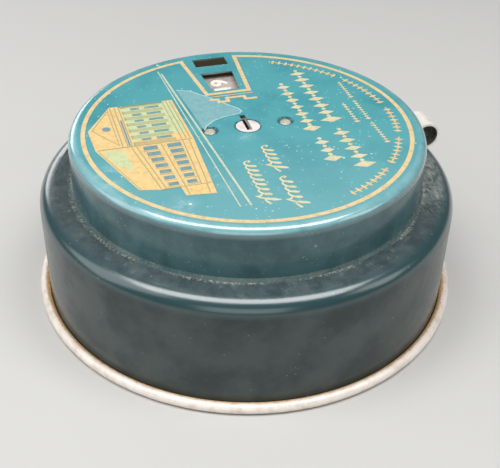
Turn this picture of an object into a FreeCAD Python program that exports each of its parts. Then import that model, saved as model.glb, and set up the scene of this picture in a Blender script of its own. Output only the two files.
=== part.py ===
import FreeCAD, Part
import math
import os

# A round tin money box in millimetres.  A wide lower drum holds the coins and a
# narrower upper drum, a slip lid, carries the lock, the counter and the coin chute.
# The origin is the centre of the face it stands on, +Z is up, and the two windows
# in the lid lie towards +X.  The lever's curled tab stands towards -Y.

# overall sizes
shoulder_height = 35.2
lid_height = 15.6
lid_radius = 50.8
shoulder_width = 9.7
sheet = 0.5
pin_clearance = 0.05

# lower drum
fold_radius = 4.5
neck_height = 4.0
neck_clearance = 0.25
neck_bend = 0.5
foot_bend = 0.5
foot_flange_reach = 1.4

# base plate, curled over the foot of the drum
curl_radius = 1.5
curl_offset = 1.5
curl_end_angle = 150.0
base_recess = 2.0
base_step = 1.0
base_gap = 0.6
base_rib_radius = 38.0
base_rib_width = 3.0
base_rib_height = 0.8

# upper drum
lid_edge_radius = 2.4
hem_height = 0.9
hem_flare = 0.55
number_window_length = 12.2
number_window_inner_half = 4.2
number_window_outer_half = 5.1
number_window_rim_margin = 1.4
sight_edge_gap = 5.5
sight_width = 5.3
sight_half = 5.3
dish_depth = 0.7
dish_floor_radius = 1.8
dish_slope = 0.4
lid_hole_clearance = 0.15

# lid rivets
lid_rivet_spacing = 22.4
lid_rivet_shank = 1.0
lid_rivet_head = 1.6
lid_rivet_head_height = 0.5
lid_rivet_chamfer = 0.25
lid_rivet_tail = 1.7

# lock case, the axle of the counter
case_radius = 15.5
case_wall = 0.6
case_gap_under_lid = 0.7
case_corner = 1.0
boss_radius = 3.45
boss_below_top = 0.1
key_slot_width = 1.6
key_slot_back = 2.1
key_slot_front = 6.5
case_tab_count = 3
case_tab_angle = 20.0
case_tab_first_angle = 60.0
case_tab_drop = 1.1
running_clearance = 0.1
axial_clearance = 0.1
retainer_groove = 0.2

# stack on the lock case: levels up from its cover, widths out from the case
cover_above_shoulder = 1.3
cover_lip = 1.1
washer_thickness = 0.7
washer_width = 3.5
lever_thickness = 0.8
spacer_height = 2.2
spacer_width = 2.1
retainer_thickness = 0.6
retainer_width = 2.3
retainer_gap_angle = 24.0

# counter
dial_edge_gap = 14.4
dial_below_top = 2.2
hub_wall = 1.0
hub_flange_width = 4.9
hub_flange_thickness = 0.6
dial_rivet_count = 3
dial_rivet_first_angle = 60.0
dial_rivet_offset = 3.0
dial_rivet_shank = 0.7
dial_rivet_head = 1.2
dial_rivet_head_height = 0.4
tooth_count = 20
tooth_offset = 7.0
tooth_depth = 2.5
tooth_face_angle = -54.0
wheel_thickness = 0.8

# lever
lever_angle = -90.0
lever_travel = 18.0
lever_hub_width = 4.5
lever_arm_overlap = 1.6
lever_width = 8.4
tab_radius = 4.15
tab_wall_gap = 0.35
tab_curl_angle = 285.0
wall_slot_height = 1.8
wall_slot_margin = 1.2
neck_notch_margin = 2.4
pin_offset = 4.0
pin_radius = 1.0
pin_head_radius = 1.8
pin_head_height = 0.5
pawl_spacer_radius = 1.9
pawl_boss_radius = 2.4
pawl_boss_side = 1.7
pawl_tip_gap = 0.5
pawl_tip_rise = 0.25
pawl_hook_rise = 0.45
pawl_hook_width = 3.0
pawl_tooth_clearance = 0.7
pawl_width = 2.6
lug_distance = 7.5
lug_width = 5.0
pawl_spring_thickness = 0.25

# springs
spring_thickness = 0.3
spring_steps = 14
ear_width = 7.0
return_ear_angle = -30.0
return_ear_offset = 5.0
return_spring_contact_offset = 8.0
return_spring_pull = 0.9
return_spring_overhang = 0.6
click_ear_angle = 116.0
click_ear_offset = 4.0
click_tip_angle = 143.0
click_tip_direction = 84.0
click_spring_pull = 0.5
click_spring_overhang = 0.5
spring_rivet_shank = 0.6
spring_rivet_head = 1.0
spring_rivet_head_height = 0.4

# lock
cam_radius = 11.0
cam_flat = 10.0
cam_floor = 1.4
cam_height = 5.0
cam_pocket_radius = 7.2
cam_pocket_centre = 2.6
key_clearance = 0.15
shaft_radius = 3.0
shaft_square = 4.0
shaft_stub_radius = 1.9
lock_travel = 90.0
bar_rest_angle = 45.0
bar_gap_under_cover = 1.1
bar_thickness = 1.0
bar_width = 9.0
bar_end_clearance = 0.75
nut_sides = 6
nut_across_flats = 7.0
nut_height = 1.3
stub_end = 0.4
lug_depth = 4.0
lug_half_angle = 6.0
lug_leg_height = 3.7
lug_gap_over_bar = 0.2
cam_spring_half_length = 10.0
cam_spring_near_pull = 6.0
cam_spring_far_pull = 5.0

# coin way, sized for a coin 21.2 across and 1.95 thick
coin_slot_half = 11.3
coin_slot_height = 2.6
coin_slot_above_shoulder = 5.4
chute_length = 10.8
chute_floor_gap = 0.2
chute_side_clearance = 0.2
chute_wall_gap = 0.1
chute_flange = 3.0
gate_edge_gap = 7.4
gate_pin_drop = 3.2
gate_pin_radius = 0.6
gate_pin_head = 1.0
gate_pin_head_length = 0.4
gate_curl_wall = 0.4
gate_side_clearance = 0.3
gate_floor_clearance = 0.35
gate_stop_height = 1.6
gate_stop_depth = 1.3
gate_stop_gap = 0.15
gate_stop_rise = 3.6

# levels and radii that follow from the sizes above
overall_height = shoulder_height + lid_height
drum_radius = lid_radius + shoulder_width
dial_radius = lid_radius - dial_edge_gap
number_window_outer = dial_radius - number_window_rim_margin
number_window_inner = number_window_outer - number_window_length
sight_outer = lid_radius - sight_edge_gap
sight_inner = sight_outer - sight_width
cover_top = shoulder_height + cover_above_shoulder
cover_radius = case_radius + cover_lip
washer_radius = case_radius + washer_width
spacer_radius = case_radius + spacer_width
retainer_radius = case_radius + retainer_width
hub_flange_radius = case_radius + hub_flange_width
lever_hub_radius = case_radius + lever_hub_width
dial_rivet_circle = case_radius + dial_rivet_offset
tooth_root_radius = case_radius + tooth_offset
tooth_tip_radius = tooth_root_radius + tooth_depth
pin_circle = tooth_tip_radius + pin_offset
return_ear_reach = tooth_tip_radius + return_ear_offset
return_spring_contact = tooth_tip_radius + return_spring_contact_offset
click_ear_reach = tooth_tip_radius + click_ear_offset
coin_slot_bottom = shoulder_height + coin_slot_above_shoulder
chute_inner_end = lid_radius - chute_length
gate_pin_distance = lid_radius - gate_edge_gap
lid_underside = overall_height - sheet
lid_inner = lid_radius - sheet
drum_inner = drum_radius - sheet
neck_outer = lid_inner - neck_clearance
neck_inner = neck_outer - sheet
neck_top = shoulder_height + neck_height
case_top = lid_underside - case_gap_under_lid
case_underside = case_top - sheet
case_inner = case_radius - case_wall
bearing_radius = case_radius + running_clearance
cover_bottom = cover_top - sheet
lever_bottom = cover_top + washer_thickness + axial_clearance
lever_top = lever_bottom + lever_thickness
spacer_bottom = lever_top + axial_clearance
spacer_top = spacer_bottom + spacer_height
retainer_top = spacer_top + retainer_thickness
wheel_bottom = retainer_top + axial_clearance
wheel_top = wheel_bottom + wheel_thickness
dial_top = overall_height - dial_below_top
dial_bottom = dial_top - sheet
hub_radius = bearing_radius + hub_wall
tab_centre = lid_radius + tab_wall_gap + tab_radius
bar_top = cover_bottom - bar_gap_under_cover
bar_bottom = bar_top - bar_thickness
bar_reach = neck_inner - bar_end_clearance
cam_bottom = cover_top + axial_clearance
slot_mid = lever_bottom + lever_thickness / 2
floor_top = coin_slot_bottom - chute_floor_gap
cheek_inner = coin_slot_half + chute_side_clearance
cheek_outer = cheek_inner + sheet
gate_pin_level = overall_height - gate_pin_drop
arm_half_angle = math.degrees(math.asin(lever_width / 2 / lid_inner))


def flat(across, along, up=0.0):
    return FreeCAD.Vector(across, along, up)


def polar(radius, degrees, up=0.0):
    turn = math.radians(degrees)
    return flat(radius * math.cos(turn), radius * math.sin(turn), up)


def upright(radius, height):
    return FreeCAD.Vector(radius, 0, height)


def bend(centre, radius, first, last):
    # an arc of a section outline, given as its middle and its end
    stops = []
    for degrees in ((first + last) / 2, last):
        turn = math.radians(degrees)
        stops.append((centre[0] + radius * math.cos(turn), centre[1] + radius * math.sin(turn)))
    return tuple(stops)


def section(start, steps):
    # a closed face in the XZ plane: a step is one point for a line, two for an arc
    edges = []
    last = upright(*start)
    for step in steps + [start]:
        if isinstance(step[0], tuple):
            middle = upright(*step[0])
            end = upright(*step[1])
            edges.append(Part.Arc(last, middle, end).toShape())
        else:
            end = upright(*step)
            edges.append(Part.makeLine(last, end))
        last = end
    return Part.Face(Part.Wire(edges))


def turned(start, steps, degrees=360.0):
    return section(start, steps).revolve(flat(0, 0), flat(0, 0, 1), degrees)


def ring(inner, outer, bottom, top):
    body = Part.makeCylinder(outer, top - bottom, flat(0, 0, bottom))
    return body.cut(Part.makeCylinder(inner, top - bottom, flat(0, 0, bottom)))


def rod(radius, bottom, top, across=0.0, along=0.0):
    return Part.makeCylinder(radius, top - bottom, flat(across, along, bottom))


def block(low, high):
    size = FreeCAD.Vector(*high) - FreeCAD.Vector(*low)
    return Part.makeBox(size.x, size.y, size.z, FreeCAD.Vector(*low))


def wedge(inner, outer, bottom, top, first, last):
    # part of a ring, from one angle round to another
    corners = [(outer, bottom), (outer, top), (inner, top)]
    return spun(turned((inner, bottom), corners, last - first), first)


def spun(shape, degrees):
    copy = shape.copy()
    copy.rotate(flat(0, 0), flat(0, 0, 1), degrees)
    return copy


def plate(points, bottom, top):
    corners = [flat(point.x, point.y, bottom) for point in points]
    wire = Part.makePolygon(corners + corners[:1])
    return Part.Face(wire).extrude(flat(0, 0, top - bottom))


def curve(ends, pulls):
    # points along a smooth bend that leaves and arrives along its two pulls
    points = []
    for step in range(spring_steps + 1):
        late = step / spring_steps
        early = 1 - late
        point = ends[0] * early ** 3 + pulls[0] * (3 * early ** 2 * late)
        points.append(point + pulls[1] * (3 * early * late ** 2) + ends[1] * late ** 3)
    return points


def leaf(points, thickness, bottom, top):
    # a strip on edge that follows a line of points
    left = []
    right = []
    for place, point in enumerate(points):
        before = points[max(place - 1, 0)]
        after = points[min(place + 1, len(points) - 1)]
        along = (after - before).normalize()
        aside = flat(-along.y, along.x) * (thickness / 2)
        left.append(point + aside)
        right.append(point - aside)
    return plate(left + right[::-1], bottom, top)


def joined(shapes):
    return shapes[0].fuse(shapes[1:]).removeSplitter()


def lower_drum():
    # the shell runs from the foot flange up the wall, over the shoulder and up the neck
    foot_corner = drum_radius + foot_bend
    flange_bottom = sheet
    flange_top = flange_bottom + sheet
    flange_edge = foot_corner + foot_flange_reach - foot_bend
    bend_level = flange_top + foot_bend
    fold_level = shoulder_height - fold_radius
    fold_centre = (drum_radius - fold_radius, fold_level)
    neck_corner = (neck_outer + neck_bend, shoulder_height + neck_bend)
    shell = turned((flange_edge, flange_bottom), [
        (foot_corner, flange_bottom),
        bend((foot_corner, bend_level), foot_bend + sheet, 270, 180),
        (drum_inner, fold_level),
        bend(fold_centre, fold_radius - sheet, 0, 90),
        (neck_corner[0], shoulder_height - sheet),
        bend(neck_corner, neck_bend + sheet, 270, 180),
        (neck_inner, neck_top),
        (neck_outer, neck_top),
        (neck_outer, neck_corner[1]),
        bend(neck_corner, neck_bend, 180, 270),
        (fold_centre[0], shoulder_height),
        bend(fold_centre, fold_radius, 90, 0),
        (drum_radius, bend_level),
        bend((foot_corner, bend_level), foot_bend, 180, 270),
        (flange_edge, flange_top)])
    # the neck is open above the lever's slot, so that the lid lifts off with the lever
    notch_bottom = slot_mid - wall_slot_height / 2
    spread = arm_half_angle + neck_notch_margin
    notch = wedge(neck_inner - sheet, neck_outer + neck_clearance / 2, notch_bottom, neck_top + sheet,
                  lever_angle - spread, lever_angle + lever_travel + spread)
    return shell.cut(notch)


def base_plate():
    # a recessed floor, a step down to the rim it stands on, and a curl over the drum's foot
    centre = (drum_radius + curl_offset, curl_radius)
    step_outer = drum_inner - base_gap
    step_inner = step_outer - base_step
    floor_bottom = base_recess
    floor_top_level = base_recess + sheet
    rib_in = base_rib_radius - base_rib_width
    rib_out = base_rib_radius + base_rib_width
    curl = bend(centre, curl_radius, -90, curl_end_angle)
    back = bend(centre, curl_radius - sheet, curl_end_angle, -90)
    lip = math.radians(curl_end_angle)
    reach = curl_radius - sheet
    lip_in = (centre[0] + reach * math.cos(lip), centre[1] + reach * math.sin(lip))
    return turned((0, floor_bottom), [
        (rib_in, floor_bottom),
        (base_rib_radius, floor_bottom + base_rib_height),
        (rib_out, floor_bottom),
        (step_inner, floor_bottom),
        (step_outer - sheet, 0),
        (centre[0], 0),
        curl,
        lip_in,
        back,
        (step_outer, sheet),
        (step_inner + sheet, floor_top_level),
        (rib_out, floor_top_level),
        (base_rib_radius, floor_top_level + base_rib_height),
        (rib_in, floor_top_level),
        (0, floor_top_level)])


def strike_lugs():
    # two angle pieces inside the neck, which the lock bar turns in under
    bottom = bar_top + lug_gap_over_bar
    lugs = []
    for side in (bar_rest_angle + lock_travel, bar_rest_angle + lock_travel + 180):
        spread = (side - lug_half_angle, side + lug_half_angle)
        foot = wedge(neck_inner - lug_depth, neck_inner, bottom, bottom + sheet, *spread)
        leg = wedge(neck_inner - sheet, neck_inner, bottom, bottom + lug_leg_height, *spread)
        lugs.append(joined([foot, leg]))
    return Part.makeCompound(lugs)


def upper_drum():
    # a flat top and a straight wall, with a narrow flared hem that sits on the shoulder
    edge_centre = (lid_radius - lid_edge_radius, overall_height - lid_edge_radius)
    hem_top = shoulder_height + hem_height
    shell = turned((0, lid_underside), [
        (edge_centre[0], lid_underside),
        bend(edge_centre, lid_edge_radius - sheet, 90, 0),
        (lid_inner, hem_top),
        (lid_inner + hem_flare, shoulder_height),
        (lid_radius + hem_flare, shoulder_height),
        (lid_radius, hem_top),
        (lid_radius, edge_centre[1]),
        bend(edge_centre, lid_edge_radius, 0, 90),
        (0, overall_height)])
    # rivet dishes pressed down on to the lock case
    floor = overall_height - dish_depth
    for side in (-1, 1):
        place = flat(0, side * lid_rivet_spacing / 2, floor - sheet)
        foot_radius = dish_floor_radius + sheet
        dish = Part.makeCone(foot_radius, foot_radius + dish_slope, dish_depth, place)
        shell = shell.fuse(dish)
    for side in (-1, 1):
        place = flat(0, side * lid_rivet_spacing / 2, floor)
        hollow = Part.makeCone(dish_floor_radius, dish_floor_radius + dish_slope, dish_depth, place)
        shell = shell.cut(hollow)
        shell = shell.cut(rod(lid_rivet_shank, floor - sheet, floor, place.x, place.y))
    # openings in the top
    bottom = lid_underside - sheet
    top = overall_height + sheet
    shell = shell.cut(rod(boss_radius + lid_hole_clearance, bottom, top))
    half_slot = key_slot_width / 2
    shell = shell.cut(block((0, -half_slot, bottom), (key_slot_front, half_slot, top)))
    window = [flat(number_window_inner, -number_window_inner_half),
              flat(number_window_outer, -number_window_outer_half),
              flat(number_window_outer, number_window_outer_half),
              flat(number_window_inner, number_window_inner_half)]
    shell = shell.cut(plate(window, bottom, top))
    shell = shell.cut(block((sight_inner, -sight_half, bottom), (sight_outer, sight_half, top)))
    # openings in the wall
    spread = arm_half_angle + wall_slot_margin
    slot_bottom = slot_mid - wall_slot_height / 2
    lever_slot = wedge(lid_inner - sheet, lid_radius + sheet, slot_bottom, slot_bottom + wall_slot_height,
                       lever_angle - spread, lever_angle + lever_travel + spread)
    shell = shell.cut(lever_slot)
    coin_slot = block((lid_inner - coin_slot_half, -coin_slot_half, coin_slot_bottom),
                      (lid_radius + sheet, coin_slot_half, coin_slot_bottom + coin_slot_height))
    return shell.cut(coin_slot).removeSplitter()


def lid_rivets():
    head_bottom = overall_height - dish_depth
    head_top = head_bottom + lid_rivet_head_height
    rim = head_top - lid_rivet_chamfer
    tail = case_underside - lid_rivet_head_height
    rivet = turned((0, tail), [
        (lid_rivet_tail, tail),
        (lid_rivet_tail, case_underside),
        (lid_rivet_shank, case_underside),
        (lid_rivet_shank, head_bottom),
        (lid_rivet_head, head_bottom),
        (lid_rivet_head, rim),
        (lid_rivet_head - lid_rivet_chamfer, head_top),
        (0, head_top)])
    pair = []
    for side in (-1, 1):
        copy = rivet.copy()
        copy.translate(flat(0, side * lid_rivet_spacing / 2))
        pair.append(copy)
    return Part.makeCompound(pair)


def case_tabs(bottom, top, margin):
    tabs = []
    for place in range(case_tab_count):
        middle = case_tab_first_angle + place * 360 / case_tab_count
        half = case_tab_angle / 2 + math.degrees(margin / case_radius)
        tabs.append(wedge(case_inner - margin, case_radius + margin, bottom, top,
                          middle - half, middle + half))
    return tabs


def lock_case():
    corner = (case_radius - case_corner, case_top - case_corner)
    boss_top = overall_height - boss_below_top
    shell = turned((0, case_underside), [
        (corner[0], case_underside),
        bend(corner, case_corner - sheet, 90, 0),
        (case_inner, corner[1] - case_corner),
        (case_inner, cover_top),
        (case_radius, cover_top),
        (case_radius, corner[1]),
        bend(corner, case_corner, 0, 90),
        (boss_radius, case_top),
        (boss_radius, boss_top),
        (0, boss_top)])
    shell = joined([shell] + case_tabs(cover_top - case_tab_drop, cover_top, 0))
    groove = case_radius - retainer_groove
    shell = shell.cut(ring(groove, case_radius + sheet, spacer_top, retainer_top))
    half_slot = key_slot_width / 2
    key_way = block((-key_slot_back, -half_slot, case_underside - sheet),
                    (key_slot_front, half_slot, overall_height + sheet))
    shell = shell.cut(key_way)
    for side in (-1, 1):
        shell = shell.cut(rod(lid_rivet_shank, case_underside, case_top, 0, side * lid_rivet_spacing / 2))
    return shell


def ear(reach, level):
    # a strip out from the cover along +X with its end turned up to hold a spring
    half = ear_width / 2
    tab_top = level + spring_rivet_head + spring_thickness
    arm = block((case_radius, -half, cover_bottom), (reach, half, cover_top))
    tab = block((reach - sheet, -half, cover_bottom), (reach, half, tab_top))
    hole = Part.makeCylinder(spring_rivet_shank, sheet, flat(reach - sheet, 0, level), flat(1, 0))
    return joined([arm, tab]).cut(hole)


def spring_ears():
    # angle, reach and level of the return spring's ear and of the click spring's
    click_level = (wheel_bottom + wheel_top) / 2
    return ((return_ear_angle, return_ear_reach, slot_mid), (click_ear_angle, click_ear_reach, click_level))


def lock_cover():
    shape = rod(cover_radius, cover_bottom, cover_top)
    for angle, reach, level in spring_ears():
        shape = shape.fuse(spun(ear(reach, level), angle))
    shape = shape.cut(rod(shaft_radius + pin_clearance, cover_bottom, cover_top))
    for slot in case_tabs(cover_bottom, cover_top, pin_clearance):
        shape = shape.cut(slot)
    return shape.removeSplitter()


def spring_rivets():
    rivets = []
    for angle, reach, level in spring_ears():
        outer = flat(reach, 0, level)
        inner = flat(reach - sheet - spring_thickness, 0, level)
        shank = Part.makeCylinder(spring_rivet_shank, sheet + spring_thickness, inner, flat(1, 0))
        head = Part.makeCylinder(spring_rivet_head, spring_rivet_head_height, outer, flat(1, 0))
        tail = Part.makeCylinder(spring_rivet_head, spring_rivet_head_height, inner, flat(-1, 0))
        rivets.append(spun(joined([shank, head, tail]), angle))
    return Part.makeCompound(rivets)


def root_on_ear(angle, reach, level, direction):
    # where a leaf lies against the turned-up tab, and the hole for its rivet
    middle = reach - sheet - spring_thickness / 2
    half = ear_width / 2
    start = spun(Part.Vertex(flat(middle, -direction * half)), angle).Point
    leave = spun(Part.Vertex(flat(middle, direction * half)), angle).Point
    hole = Part.makeCylinder(spring_rivet_shank, sheet * 2, flat(middle - sheet, 0, level), flat(1, 0))
    return start, leave, spun(hole, angle)


def return_spring():
    angle, reach, level = spring_ears()[0]
    start, leave, hole = root_on_ear(angle, reach, level, -1)
    touch = flat(lever_width / 2 + spring_thickness, -return_spring_contact)
    onward = (leave - start) * return_spring_pull
    points = [start] + curve((leave, touch), (leave + onward, touch + flat(ear_width, 0)))
    half = lever_thickness / 2 + return_spring_overhang
    return leaf(points, spring_thickness, level - half, level + half).cut(hole)


def click_spring():
    angle, reach, level = spring_ears()[1]
    start, leave, hole = root_on_ear(angle, reach, level, 1)
    tip = polar(tooth_root_radius + tooth_depth / 2 + spring_thickness / 2, click_tip_angle)
    inward = polar(ear_width / 2, click_tip_direction)
    onward = (leave - start) * click_spring_pull
    points = [start] + curve((leave, tip), (leave + onward, tip + inward))
    half = wheel_thickness / 2 + click_spring_overhang
    return leaf(points, spring_thickness, level - half, level + half).cut(hole)


def cam_spring():
    # a bowed leaf between the case wall and the flat of the cam
    end = math.sqrt((case_inner - spring_thickness) ** 2 - cam_spring_half_length ** 2)
    touch = cam_flat + spring_thickness / 2 + axial_clearance
    upper = curve((flat(-end, cam_spring_half_length), flat(-touch, 0)),
                  (flat(-touch, cam_spring_near_pull), flat(-touch, cam_spring_far_pull)))
    lower = [flat(point.x, -point.y) for point in upper[-2::-1]]
    bottom = cam_bottom + cam_floor
    top = cam_bottom + cam_height
    return leaf(upper + lower, spring_thickness, bottom, top)


def lever_washer():
    return ring(case_radius, washer_radius, cover_top, cover_top + washer_thickness)


def spacer_ring():
    return ring(case_radius, spacer_radius, spacer_bottom, spacer_top)


def dial_retainer():
    # an open clip sprung into the groove of the lock case
    half = retainer_gap_angle / 2
    return wedge(case_radius - retainer_groove, retainer_radius, spacer_top, retainer_top, half, 360 - half)


def lever():
    # hub, arm and the strip's curled end, drawn along +X and then turned to the lever's side
    hub = ring(bearing_radius, lever_hub_radius, lever_bottom, lever_top)
    half = lever_width / 2
    arm_start = lever_hub_radius - lever_arm_overlap
    arm = block((arm_start, -half, lever_bottom), (tab_centre, half, lever_top))
    centre = (tab_centre, lever_bottom + tab_radius)
    inner = tab_radius - lever_thickness
    last = tab_curl_angle - 90
    curl_out = bend(centre, tab_radius, -90, last)
    turn = math.radians(last)
    lip_in = (centre[0] + inner * math.cos(turn), centre[1] + inner * math.sin(turn))
    start = (tab_centre, lever_bottom)
    curl_face = section(start, [curl_out, lip_in, bend(centre, inner, last, -90)])
    curl_face.translate(flat(0, -half))
    curl = curl_face.extrude(flat(0, lever_width))
    lug = block((pin_circle + lug_distance, -lug_width / 2, lever_top),
                (pin_circle + lug_distance + sheet, lug_width / 2, wheel_top))
    hole = rod(pin_radius, lever_bottom, lever_top, pin_circle, 0)
    return spun(joined([hub, arm, curl, lug]).cut(hole), lever_angle)


def pawl_pin():
    bottom = lever_bottom - pin_head_height
    top = wheel_top + axial_clearance
    tail = rod(pin_head_radius, bottom, lever_bottom)
    shank = rod(pin_radius, bottom, top)
    head = rod(pin_head_radius, top, top + pin_head_height)
    pin = joined([tail, shank, head])
    pin.translate(polar(pin_circle, lever_angle))
    return pin


def pawl_spacer():
    tube = ring(pin_radius, pawl_spacer_radius, lever_top, wheel_bottom - axial_clearance)
    tube.translate(polar(pin_circle, lever_angle))
    return tube


def pawl():
    # a hooked finger that passes outside one tooth and drops behind the next
    pivot = polar(pin_circle, lever_angle)
    side = tooth_face_angle - pawl_tip_gap
    pitch = 360 / tooth_count
    inside = tooth_tip_radius + pawl_tooth_clearance
    outside = inside + pawl_width
    corners = [pivot + flat(-pawl_boss_side, pawl_boss_side),
               polar(inside, side - pitch),
               polar(inside, side - pitch / 2),
               polar(tooth_root_radius + pawl_hook_rise, side - pawl_hook_width),
               polar(tooth_root_radius + pawl_tip_rise, side),
               polar(inside, side),
               polar(outside, side - pitch / 2),
               polar(outside, side - pitch),
               pivot + flat(pawl_boss_side, -pawl_boss_side)]
    body = plate(corners, wheel_bottom, wheel_top)
    boss = rod(pawl_boss_radius, wheel_bottom, wheel_top, pivot.x, pivot.y)
    hole = rod(pin_radius + pin_clearance, wheel_bottom, wheel_top, pivot.x, pivot.y)
    return joined([body, boss]).cut(hole)


def pawl_spring():
    # a thin leaf from the lever's lug to the back of the pawl
    back_angle = tooth_face_angle - pawl_tip_gap - 360 / tooth_count
    back = tooth_tip_radius + pawl_tooth_clearance + pawl_width + pawl_spring_thickness
    touch = polar(back, back_angle)
    root = pin_circle + lug_distance - pawl_spring_thickness / 2
    start = flat(-lug_width / 2, -root)
    leave = flat(lug_width / 2, -root)
    pull = touch + polar(lug_width / 2, back_angle)
    points = [start] + curve((leave, touch), (leave + flat(lug_width / 2, 0), pull))
    return leaf(points, pawl_spring_thickness, wheel_bottom, wheel_top)


def dial():
    disc = ring(bearing_radius, dial_radius, dial_bottom, dial_top)
    return disc.cut(dial_rivet_holes(dial_bottom, dial_top))


def dial_rivet_holes(bottom, top):
    holes = []
    for place in range(dial_rivet_count):
        spot = polar(dial_rivet_circle, dial_rivet_first_angle + place * 360 / dial_rivet_count)
        holes.append(rod(dial_rivet_shank, bottom, top, spot.x, spot.y))
    return Part.makeCompound(holes)


def dial_hub():
    flange_bottom = dial_bottom - hub_flange_thickness
    hub = turned((bearing_radius, wheel_bottom), [
        (hub_radius, wheel_bottom),
        (hub_radius, flange_bottom),
        (hub_flange_radius, flange_bottom),
        (hub_flange_radius, dial_bottom),
        (bearing_radius, dial_bottom)])
    return hub.cut(dial_rivet_holes(flange_bottom, dial_bottom))


def dial_rivets():
    bottom = dial_bottom - hub_flange_thickness
    rivets = []
    for place in range(dial_rivet_count):
        spot = polar(dial_rivet_circle, dial_rivet_first_angle + place * 360 / dial_rivet_count)
        shank = rod(dial_rivet_shank, bottom, dial_top, spot.x, spot.y)
        head = rod(dial_rivet_head, dial_top, dial_top + dial_rivet_head_height, spot.x, spot.y)
        tail = rod(dial_rivet_head, bottom - dial_rivet_head_height, bottom, spot.x, spot.y)
        rivets.append(joined([shank, head, tail]))
    return Part.makeCompound(rivets)


def ratchet_wheel():
    # saw teeth whose steep faces look clockwise
    pitch = 360 / tooth_count
    corners = []
    for tooth in range(tooth_count):
        angle = tooth_face_angle + tooth * pitch
        corners.append(polar(tooth_root_radius, angle))
        corners.append(polar(tooth_tip_radius, angle))
    return plate(corners, wheel_bottom, wheel_top).cut(rod(hub_radius, wheel_bottom, wheel_top))


def lock_cam():
    # a cup with a sector pocket for the key, on a stepped shaft
    top = cam_bottom + cam_height
    cup = rod(cam_radius, cam_bottom, top)
    for turn in (180, 90):
        side = block((cam_flat, -cam_radius, cam_bottom), (cam_radius * 2, cam_radius, top))
        cup = cup.cut(spun(side, turn))
    pocket_bottom = cam_bottom + cam_floor
    half_slot = key_slot_width / 2 + key_clearance
    pocket = [rod(cam_pocket_centre, pocket_bottom, top)]
    pocket.append(wedge(0, cam_pocket_radius, pocket_bottom, top, -lock_travel, 0))
    ends = block((0, -half_slot, pocket_bottom), (cam_pocket_radius, half_slot, top))
    pocket.append(ends)
    pocket.append(spun(ends, -lock_travel))
    cup = cup.cut(joined(pocket))
    shaft = rod(shaft_radius, bar_top, cam_bottom)
    half = shaft_square / 2
    square = block((-half, -half, bar_bottom), (half, half, bar_top))
    stub = rod(shaft_stub_radius, bar_bottom - nut_height - stub_end, bar_bottom)
    return joined([cup, shaft, square, stub])


def lock_bar():
    half = bar_width / 2
    blank = block((-bar_reach, -half, bar_bottom), (bar_reach, half, bar_top))
    blank = blank.common(rod(bar_reach, bar_bottom, bar_top))
    bar = spun(blank, bar_rest_angle)
    hole = shaft_square / 2
    return bar.cut(block((-hole, -hole, bar_bottom), (hole, hole, bar_top)))


def bar_nut():
    corner = nut_across_flats / 2 / math.cos(math.pi / nut_sides)
    corners = [polar(corner, step * 360 / nut_sides) for step in range(nut_sides)]
    bottom = bar_bottom - nut_height
    return plate(corners, bottom, bar_bottom).cut(rod(shaft_stub_radius, bottom, bar_bottom))


def coin_chute():
    # floor, two cheeks with flanges under the lid, and two stops for the gate
    far = lid_radius
    floor = block((chute_inner_end, -cheek_outer, floor_top - sheet), (far, cheek_outer, floor_top))
    pieces = [floor]
    for side in (-1, 1):
        near, away = sorted((side * cheek_inner, side * cheek_outer))
        pieces.append(block((chute_inner_end, near, floor_top), (far, away, lid_underside)))
        near, away = sorted((side * cheek_outer, side * (cheek_outer + chute_flange)))
        pieces.append(block((chute_inner_end, near, lid_underside - sheet), (far, away, lid_underside)))
        stop = gate_pin_distance + gate_pin_radius + pin_clearance + gate_curl_wall + gate_stop_gap
        near, away = sorted((side * (cheek_inner - gate_stop_depth), side * cheek_inner))
        stop_bottom = floor_top + gate_stop_rise
        pieces.append(block((stop, near, stop_bottom), (stop + sheet, away, stop_bottom + gate_stop_height)))
    chute = joined(pieces)
    inside = rod(lid_inner - chute_wall_gap, floor_top - sheet, lid_underside - lid_edge_radius)
    cap = rod(lid_inner - lid_edge_radius, lid_underside - lid_edge_radius, lid_underside)
    chute = chute.common(joined([inside, cap]))
    return chute.cut(gate_axle(gate_pin_radius, cheek_outer * 2))


def gate_axle(radius, length):
    start = flat(gate_pin_distance, -length / 2, gate_pin_level)
    return Part.makeCylinder(radius, length, start, flat(0, 1))


def gate_pin():
    shank = gate_axle(gate_pin_radius, cheek_outer * 2)
    pieces = [shank]
    for side in (-1, 1):
        start = flat(gate_pin_distance, side * cheek_outer, gate_pin_level)
        pieces.append(Part.makeCylinder(gate_pin_head, gate_pin_head_length, start, flat(0, side)))
    return joined(pieces)


def coin_gate():
    # a flap that hangs from its pin and closes the chute behind the coin slot
    half = cheek_inner - gate_side_clearance
    bore = gate_pin_radius + pin_clearance
    outer = bore + gate_curl_wall
    curl = gate_axle(outer, half * 2)
    bottom = floor_top + gate_floor_clearance
    flap = block((gate_pin_distance + bore, -half, bottom), (gate_pin_distance + outer, half, gate_pin_level))
    return joined([curl, flap]).cut(gate_axle(bore, half * 2))


def solids_of(shape):
    if len(shape.Solids) == 1:
        return shape.Solids[0]
    return Part.makeCompound(shape.Solids)


pieces = (lower_drum, base_plate, strike_lugs, upper_drum, lid_rivets, lock_case, lock_cover,
          spring_rivets, return_spring, click_spring, cam_spring, lever_washer, spacer_ring,
          dial_retainer, lever, pawl_pin, pawl_spacer, pawl, pawl_spring, dial, dial_hub,
          dial_rivets, ratchet_wheel, lock_cam, lock_bar, bar_nut, coin_chute, gate_pin, coin_gate)

os.makedirs("parts", exist_ok=True)
for make in pieces:
    shape = solids_of(make())
    shape.exportStep("parts/" + make.__name__ + ".step")
    print(make.__name__, "solids", len(shape.Solids), "valid", shape.isValid(),
          "volume", round(shape.Volume, 1))
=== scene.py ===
import math
import bmesh
import bpy
from mathutils import Matrix, Vector


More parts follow.
